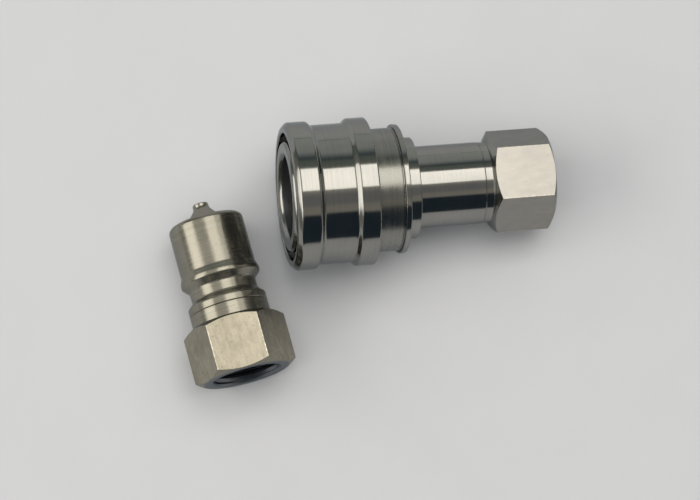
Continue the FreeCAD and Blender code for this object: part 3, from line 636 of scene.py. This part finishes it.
# %% Handling marks
def handling_marks():
    group, start, end = node_group("handling marks", {"Lathe": "NodeSocketVector"},
                                   {"Smudge": "NodeSocketFloat", "Scratch": "NodeSocketFloat",
                                    "Nick": "NodeSocketFloat"})
    smudge = node(group, "ShaderNodeTexNoise", Scale=0.16, Detail=5.0, Roughness=0.6, Distortion=0.4)
    slanted = node(group, "ShaderNodeMapping", Rotation=(0.4, 0.7, 0.5), Scale=(0.35, 6, 6))
    scratch = node(group, "ShaderNodeTexNoise", Scale=1.0, Detail=3.0, Roughness=0.7)
    cells = node(group, "ShaderNodeTexVoronoi", Scale=0.55, Randomness=1.0)
    lathe = start.outputs["Lathe"]
    joined(group, (lathe, smudge.inputs["Vector"]), (lathe, slanted.inputs["Vector"]),
           (slanted.outputs[0], scratch.inputs["Vector"]), (lathe, cells.inputs["Vector"]),
           (smudge.outputs["Fac"], end.inputs["Smudge"]),
           (remapped(group, scratch.outputs["Fac"], 0.66, 0.74), end.inputs["Scratch"]),
           (remapped(group, cells.outputs["Distance"], 0.16, 0.05), end.inputs["Nick"]))
    return group


HANDLING = handling_marks()
print("node group:", HANDLING.name)

# %% [markdown]
# Corners of a hexagon are where the spanner and the bench rub. The last group works out how far
# round a point is from the middle of its flat, which is most at a corner: half a flat. It keeps
# what is nearly that far, and noise breaks the worn line up.

# %% Worn corners
def worn_corners():
    group, start, end = node_group("worn corners", {"Lathe": "NodeSocketVector"}, {"Worn": "NodeSocketFloat"})
    split = node(group, "ShaderNodeSeparateXYZ")
    noise = node(group, "ShaderNodeTexNoise", Scale=1.3, Detail=5.0, Roughness=0.75)
    joined(group, (start.outputs["Lathe"], split.inputs[0]), (start.outputs["Lathe"], noise.inputs["Vector"]))
    angle = math_node(group, "ARCTAN2", split.outputs["Y"], split.outputs["Z"])
    flats_round = math_node(group, "DIVIDE", angle, pi / 3)
    nearest = math_node(group, "ROUND", flats_round)
    from_middle = math_node(group, "ABSOLUTE", math_node(group, "SUBTRACT", flats_round, nearest))
    uneven = weighted(group, (noise.outputs["Fac"], 0.09), base=from_middle)
    joined(group, (remapped(group, uneven, 0.53, 0.55), end.inputs["Worn"]))
    return group


CORNERS = worn_corners()
print("node group:", CORNERS.name)

# %% [markdown]
# One function makes every steel in the coupling. Each finish differs in its two tones, in how rough
# it is, in how fine and deep its marks are, and in its wear. Turned faces also stretch a reflection
# across the tool's rings, hexagons may have worn corners, and a thin film can dull the metal.

# %% Steel
EDGE_TINT = (0.6, 0.63, 0.65, 1)     # bare steel is darker and bluer where it is seen at a slant
RUBBED = (0.70, 0.66, 0.56)          # bright metal at a worn corner
TONE_SHARE, TONE_START = 0.75, 0.45  # how marks and smudges choose between the two tones
MARKS_DULL, SMUDGE_DULLS, SCRATCH_DULLS = 0.5, 0.7, 0.12
CLEAN_ROUGH, WORN_ROUGH = 0.4, -0.3
SCRATCH_CUT, NICK_CUT = -0.25, -1.2  # depths of wear, against the tool's own marks
NICK_DIRT, DIRT_TONE = 0.5, 0.45
BUMP_STRENGTH = 0.6


def lathe_coordinates(tree, half):
    """Object coordinates turned into a half's own millimetres."""
    place, turn, scale = half.decompose()
    texture = node(tree, "ShaderNodeTexCoord")
    into = node(tree, "ShaderNodeMapping", vector_type="TEXTURE", Location=place, Rotation=turn.to_euler(),
                Scale=scale)
    tree.links.new(texture.outputs["Object"], into.inputs["Vector"])
    return into.outputs[0]


def across_the_marks(tree, half, lathe):
    """The direction on the surface that crosses the tool's rings."""
    around = node(tree, "ShaderNodeVectorMath", operation="CROSS_PRODUCT")
    around.inputs[1].default_value = (1, 0, 0)
    back = node(tree, "ShaderNodeMapping", vector_type="VECTOR", Rotation=half.to_quaternion().to_euler())
    moved = node(tree, "ShaderNodeVectorTransform", vector_type="VECTOR", convert_from="OBJECT",
                 convert_to="WORLD")
    surface = node(tree, "ShaderNodeNewGeometry")
    across = node(tree, "ShaderNodeVectorMath", operation="CROSS_PRODUCT")
    joined(tree, (lathe, around.inputs[0]), (around.outputs[0], back.inputs["Vector"]),
           (back.outputs[0], moved.inputs["Vector"]), (moved.outputs[0], across.inputs[0]),
           (surface.outputs["Normal"], across.inputs[1]))
    return across.outputs[0]


def painted_over(tree, under, colour, mask, amount):
    """A colour laid over another where the mask says."""
    made = node(tree, "ShaderNodeMix", data_type="RGBA", B=(*colour, 1))
    joined(tree, (under, made.inputs["A"]),
           (math_node(tree, "MULTIPLY", mask, amount), made.inputs["Factor"]))
    return made.outputs["Result"]


def steel(name, half, grain, light, dark, rough, fineness, depth, wear, stretch=0.0, corners=0.0, film=0.0):
    material, tree, shader = new_material(name)
    shader.inputs["Metallic"].default_value = 1.0 - film
    shader.inputs["Specular Tint"].default_value = EDGE_TINT
    shader.inputs["Anisotropic"].default_value = stretch
    lathe = lathe_coordinates(tree, half)
    marked = node(tree, "ShaderNodeGroup", node_tree=grain)
    marked.inputs["Fineness"].default_value = fineness
    handled = node(tree, "ShaderNodeGroup", node_tree=HANDLING)
    marks, (smudge, scratch, nick) = marked.outputs["Marks"], handled.outputs

    tones = tone_ramp(tree, dark, light, start=TONE_START)
    dirt = [DIRT_TONE * v for v in dark]
    colour = painted_over(tree, tones.outputs["Color"], dirt, nick, NICK_DIRT * wear)
    if corners:
        worn = node(tree, "ShaderNodeGroup", node_tree=CORNERS)
        tree.links.new(lathe, worn.inputs["Lathe"])
        colour = painted_over(tree, colour, RUBBED, worn.outputs["Worn"], corners)
    gloss = weighted(tree, (smudge, rough * SMUDGE_DULLS * (1 + wear)), (marks, rough * MARKS_DULL),
                     (scratch, SCRATCH_DULLS * wear), base=rough * (CLEAN_ROUGH + WORN_ROUGH * wear))
    height = weighted(tree, (scratch, SCRATCH_CUT * wear), (nick, NICK_CUT * wear), base=marks)
    bump = node(tree, "ShaderNodeBump", Strength=BUMP_STRENGTH, Distance=depth)
    joined(tree, (lathe, marked.inputs["Lathe"]), (lathe, handled.inputs["Lathe"]),
           (weighted(tree, (marks, TONE_SHARE), (smudge, TONE_SHARE)), tones.inputs["Fac"]),
           (colour, shader.inputs["Base Color"]), (gloss, shader.inputs["Roughness"]),
           (height, bump.inputs["Height"]), (bump.outputs["Normal"], shader.inputs["Normal"]))
    if stretch:
        tree.links.new(across_the_marks(tree, half, lathe), shader.inputs["Tangent"])
    return material


STEELS = {
    "socket_steel": steel("turned socket steel", SOCKET, TURNED, (0.305, 0.30, 0.28), (0.245, 0.245, 0.235),
                          rough=0.13, fineness=2.2, depth=5e-6, wear=0.3, stretch=0.6),
    "sleeve_steel": steel("turned sleeve steel", SOCKET, TURNED, (0.305, 0.30, 0.28), (0.245, 0.245, 0.235),
                          rough=0.12, fineness=2.6, depth=5e-6, wear=0.2, stretch=0.6),
    "plug_steel": steel("worn plug steel", PLUG, TURNED, (0.30, 0.285, 0.24), (0.215, 0.205, 0.17),
                        rough=0.25, fineness=2.0, depth=1e-6, wear=0.6, stretch=0.5, film=0.08),
    "plug_valve": steel("plug valve steel", PLUG, TURNED, (0.33, 0.31, 0.27), (0.24, 0.23, 0.20),
                        rough=0.22, fineness=3.0, depth=6e-6, wear=0.4, stretch=0.3),
    "socket_valve": steel("socket valve steel", SOCKET, TURNED, (0.38, 0.36, 0.33), (0.28, 0.27, 0.25),
                          rough=0.2, fineness=3.0, depth=6e-6, wear=0.2, stretch=0.3),
    "spring_steel": steel("drawn spring wire", SOCKET, DRAWN, (0.36, 0.36, 0.36), (0.24, 0.24, 0.24),
                          rough=0.3, fineness=0.6, depth=2e-6, wear=0.3),
    "guide_steel": steel("pressed guide steel", SOCKET, DRAWN, (0.40, 0.39, 0.37), (0.30, 0.29, 0.28),
                         rough=0.35, fineness=1.2, depth=3e-6, wear=0.3),
    "ball_steel": steel("polished ball steel", SOCKET, DRAWN, (0.60, 0.60, 0.60), (0.52, 0.52, 0.52),
                        rough=0.09, fineness=0.4, depth=0.0, wear=0.1),
}
# Oil, and painted shade: the bore's tones are darker and bluer than the outside's, as shade inside it.
OILED_BORE_PAINTED_SHADE = steel("oiled bore steel with painted shade", SOCKET, TURNED, (0.19, 0.195, 0.205), (0.12, 0.125, 0.135),
                   rough=0.38, fineness=1.6, depth=6e-6, wear=0.4)
BARREL_BAND = steel("matt barrel band", SOCKET, TURNED, (0.285, 0.28, 0.255), (0.215, 0.215, 0.20),
                    rough=0.27, fineness=1.8, depth=6e-6, wear=0.5, stretch=0.5)
# Painted shade: the end face and the tapped hole are darker and bluer than the rest of the plug.
DULL_END_PAINTED_SHADE = steel("dull end face with painted shade", PLUG, TURNED, (0.20, 0.215, 0.23), (0.12, 0.13, 0.14),
                 rough=0.32, fineness=1.4, depth=8e-6, wear=0.6)
SOCKET_FLATS = steel("drawn socket flats", SOCKET, DRAWN, (0.33, 0.315, 0.288), (0.245, 0.235, 0.22),
                     rough=0.2, fineness=0.7, depth=6e-7, wear=0.3, corners=0.3)
PLUG_FLATS = steel("matt plug flats", PLUG, DRAWN, (0.42, 0.385, 0.305), (0.195, 0.18, 0.143),
                   rough=0.24, fineness=0.8, depth=5e-6, wear=1.0, corners=1.0)
print("steels:", [material.name for material in (
    *STEELS.values(), OILED_BORE_PAINTED_SHADE, BARREL_BAND, DULL_END_PAINTED_SHADE, SOCKET_FLATS, PLUG_FLATS)])

# %% [markdown]
# The seals are black rubber with cloudy patches, and the backup ring is off-white plastic. They
# hardly show from the camera. They are for someone who looks into the bore.

# %% Rubber and plastic
SPECKLE_DULLS = 0.2


def plain_polymer(name, light, dark, rough, grain, depth):
    material, tree, shader = new_material(name)
    lathe = lathe_coordinates(tree, SOCKET)
    speckle = node(tree, "ShaderNodeTexNoise", Scale=grain, Detail=4.0)
    cloud = node(tree, "ShaderNodeTexNoise", Scale=0.3, Detail=2.0)
    tones = tone_ramp(tree, dark, light, start=0.3, end=0.75)
    gloss = weighted(tree, (speckle.outputs["Fac"], SPECKLE_DULLS), base=rough - SPECKLE_DULLS / 2)
    bump = node(tree, "ShaderNodeBump", Strength=0.5, Distance=depth)
    joined(tree, (lathe, speckle.inputs["Vector"]), (lathe, cloud.inputs["Vector"]),
           (cloud.outputs["Fac"], tones.inputs["Fac"]), (tones.outputs["Color"], shader.inputs["Base Color"]),
           (gloss, shader.inputs["Roughness"]), (speckle.outputs["Fac"], bump.inputs["Height"]),
           (bump.outputs["Normal"], shader.inputs["Normal"]))
    return material


RUBBER = plain_polymer("black seal rubber", (0.035, 0.034, 0.033), (0.018, 0.018, 0.018),
                       rough=0.55, grain=9.0, depth=8e-6)
PLASTIC = plain_polymer("off-white backup plastic", (0.82, 0.80, 0.74), (0.72, 0.70, 0.64),
                        rough=0.4, grain=5.0, depth=4e-6)
print("polymers:", RUBBER.name, "and", PLASTIC.name)

# %% [markdown]
# Each new piece gets its finishes in the order of its faces' numbers: the plain faces first, then
# the ones that were numbered where they were made. A CAD node that stays visible gets the finish of
# its slot in the record, apart from the two valves, which differ from each other.

# %% Dressing every piece
def dress(thing, *materials):
    for material in materials:
        thing.data.materials.append(material)


new_pieces = (
    (sleeve, STEELS["sleeve_steel"]),
    (socket_shell, STEELS["socket_steel"], OILED_BORE_PAINTED_SHADE, BARREL_BAND),
    (socket_end, STEELS["socket_steel"], SOCKET_FLATS),
    (plug_shell, STEELS["plug_steel"], PLUG_FLATS, DULL_END_PAINTED_SHADE),
    (socket_thread, STEELS["socket_steel"]),
    (plug_thread, DULL_END_PAINTED_SHADE),
    (sleeve_coil, STEELS["spring_steel"]),
    (socket_coil, STEELS["spring_steel"]),
    (plug_coil, STEELS["spring_steel"]),
)
for piece, *finishes in new_pieces:
    dress(piece, *finishes)

slot_finish = {"seal_rubber": RUBBER, "backup_plastic": PLASTIC, **STEELS}
slot_of = {part["node"]: part["material_slot"] for part in record["subparts"]}
for name, part in frame["nodes"].items():
    finish = STEELS[name] if name in ("plug_valve", "socket_valve") else slot_finish[slot_of[name]]
    for slot in part.material_slots:
        slot.material = finish
print("dressed", len(frame["nodes"]), "CAD nodes and", len(new_pieces), "new pieces")

# %% [markdown]
# The table is one large plain sheet of a pale, slightly blue grey, with hardly any gloss.

# %% Floor
FLOOR_HALF_WIDTH = 4


def floor_material():
    material, tree, shader = new_material("pale table")
    texture = node(tree, "ShaderNodeTexCoord")
    grain = node(tree, "ShaderNodeTexNoise", Scale=60.0, Detail=3.0)
    tones = tone_ramp(tree, (0.60, 0.61, 0.64), (0.63, 0.64, 0.67))
    shader.inputs["Roughness"].default_value = 0.9
    shader.inputs["Specular IOR Level"].default_value = 0.1
    joined(tree, (texture.outputs["Object"], grain.inputs["Vector"]),
           (grain.outputs["Fac"], tones.inputs["Fac"]), (tones.outputs["Color"], shader.inputs["Base Color"]))
    return material


bm = bmesh.new()
bmesh.ops.create_grid(bm, x_segments=1, y_segments=1, size=FLOOR_HALF_WIDTH)
floor = loose_object("floor", bm)
dress(floor, floor_material())
print("floor:", 2 * FLOOR_HALF_WIDTH, "m wide")

# %% [markdown]
# Bright metal shows its surroundings more than itself, so the lamps are chosen by what the metal
# mirrors. The ivory band along it is a soft box overhead, in three parts, because it isn't equally
# bright from left to right. The left flank of the plug sees a second box, low on that side. Each is
# placed by two angles from straight up, towards +X and towards +Y. A last lamp only lights the table
# and the dull surfaces, and is kept out of reflections.

# %% Lamps
LAMP_DISTANCE = 1.6
WARM, COOL = (1.0, 0.96, 0.89), (0.97, 0.98, 1.0)
OVERHEAD_Y = (-3, 31)


def soft_box(name, x_angles, y_angles, radiance, colour):
    """A rectangular lamp that fills a range of angles from straight up, seen from the table."""
    x, y = sum(x_angles) / 2, sum(y_angles) / 2
    level = cos(radians(y))
    towards = Vector((sin(radians(x)) * level, sin(radians(y)), cos(radians(x)) * level))
    lamp = bpy.data.lights.new(name, "AREA")
    lamp.shape = "RECTANGLE"
    lamp.size = 2 * LAMP_DISTANCE * tan(radians((x_angles[1] - x_angles[0]) / 2))
    lamp.size_y = 2 * LAMP_DISTANCE * tan(radians((y_angles[1] - y_angles[0]) / 2))
    lamp.energy = radiance * pi * lamp.size * lamp.size_y
    lamp.color = colour
    holder = bpy.data.objects.new(name, lamp)
    bpy.context.scene.collection.objects.link(holder)
    side = Vector((towards.z, 0, -towards.x)).normalized()
    holder.matrix_world = Matrix.Translation(towards * LAMP_DISTANCE) @ Matrix(
        (side, towards.cross(side), towards)).transposed().to_4x4()
    print(name, round(lamp.size, 2), "by", round(lamp.size_y, 2), "m,", round(lamp.energy, 1), "W")
    return holder


soft_box("overhead box, bright middle", (-4, 24), OVERHEAD_Y, 2.6, WARM)
soft_box("overhead box, left wing", (-36, -5), OVERHEAD_Y, 0.5, WARM)
soft_box("overhead box, right wing", (24, 47), OVERHEAD_Y, 1.4, WARM)
soft_box("box on the left", (-73, -40), (-28, 26), 2.5, WARM)
fill = soft_box("fill for the table", (-30, 30), (-30, 30), 0.7, COOL)
fill.visible_glossy = False

# %% [markdown]
# The rest of the room is painted in the world, as bands of brightness. One ramp runs over the angle
# towards +Y, and gives the light and dark stripes along the round parts. The other runs over the
# angle towards +X, and leaves all as it is but for a dark and then a bright end of the room. Their
# product is the room. An angle of -90 to 90 degrees is 0 to 1 on a ramp.

# %% World
BANDS_TOWARDS_Y = (
    (-90, (0.03, 0.045, 0.06)), (-43, (0.03, 0.045, 0.06)), (-39, (0.42, 0.40, 0.35)),
    (-30, (0.40, 0.38, 0.33)), (-25, (0.29, 0.29, 0.29)), (-12, (0.29, 0.29, 0.29)), (-6, (0.44, 0.43, 0.38)),
    (32, (0.30, 0.30, 0.27)), (35, (0.20, 0.23, 0.20)), (42, (0.20, 0.23, 0.20)), (48, (0.09, 0.12, 0.13)),
    (59, (0.46, 0.49, 0.47)), (90, (0.60, 0.63, 0.58)))
BANDS_TOWARDS_X = (
    (-90, (1, 1, 1)), (50, (1, 1, 1)), (60, (0.40, 0.42, 0.45)), (66, (0.25, 0.28, 0.32)),
    (74, (0.25, 0.28, 0.32)), (79, (1.8, 1.8, 1.8)), (90, (2.2, 2.2, 2.2)))


def banded(tree, direction, bands):
    """The bands' colour for the angle between a view direction and the plane across an axis."""
    share = math_node(tree, "ADD", math_node(tree, "DIVIDE", math_node(tree, "ARCSINE", direction), pi), 0.5)
    ramp = node(tree, "ShaderNodeValToRGB")
    while len(ramp.color_ramp.elements) < len(bands):
        ramp.color_ramp.elements.new(0.5)
    for element, (angle, colour) in zip(ramp.color_ramp.elements, bands):
        element.position = (angle + 90) / 180
        element.color = (*colour, 1)
    tree.links.new(share, ramp.inputs["Fac"])
    return ramp.outputs["Color"]


def room():
    world = bpy.data.worlds.new("studio room")
    world.use_nodes = True
    tree = world.node_tree
    texture = node(tree, "ShaderNodeTexCoord")
    split = node(tree, "ShaderNodeSeparateXYZ")
    both = node(tree, "ShaderNodeMix", data_type="RGBA", blend_type="MULTIPLY", Factor=1.0)
    joined(tree, (texture.outputs["Generated"], split.inputs[0]),
           (banded(tree, split.outputs["Y"], BANDS_TOWARDS_Y), both.inputs["A"]),
           (banded(tree, split.outputs["X"], BANDS_TOWARDS_X), both.inputs["B"]),
           (both.outputs["Result"], tree.nodes["Background"].inputs["Color"]))
    return world


bpy.context.scene.world = room()
bpy.context.scene.view_settings.view_transform = "Standard"
print("world:", bpy.context.scene.world.name)
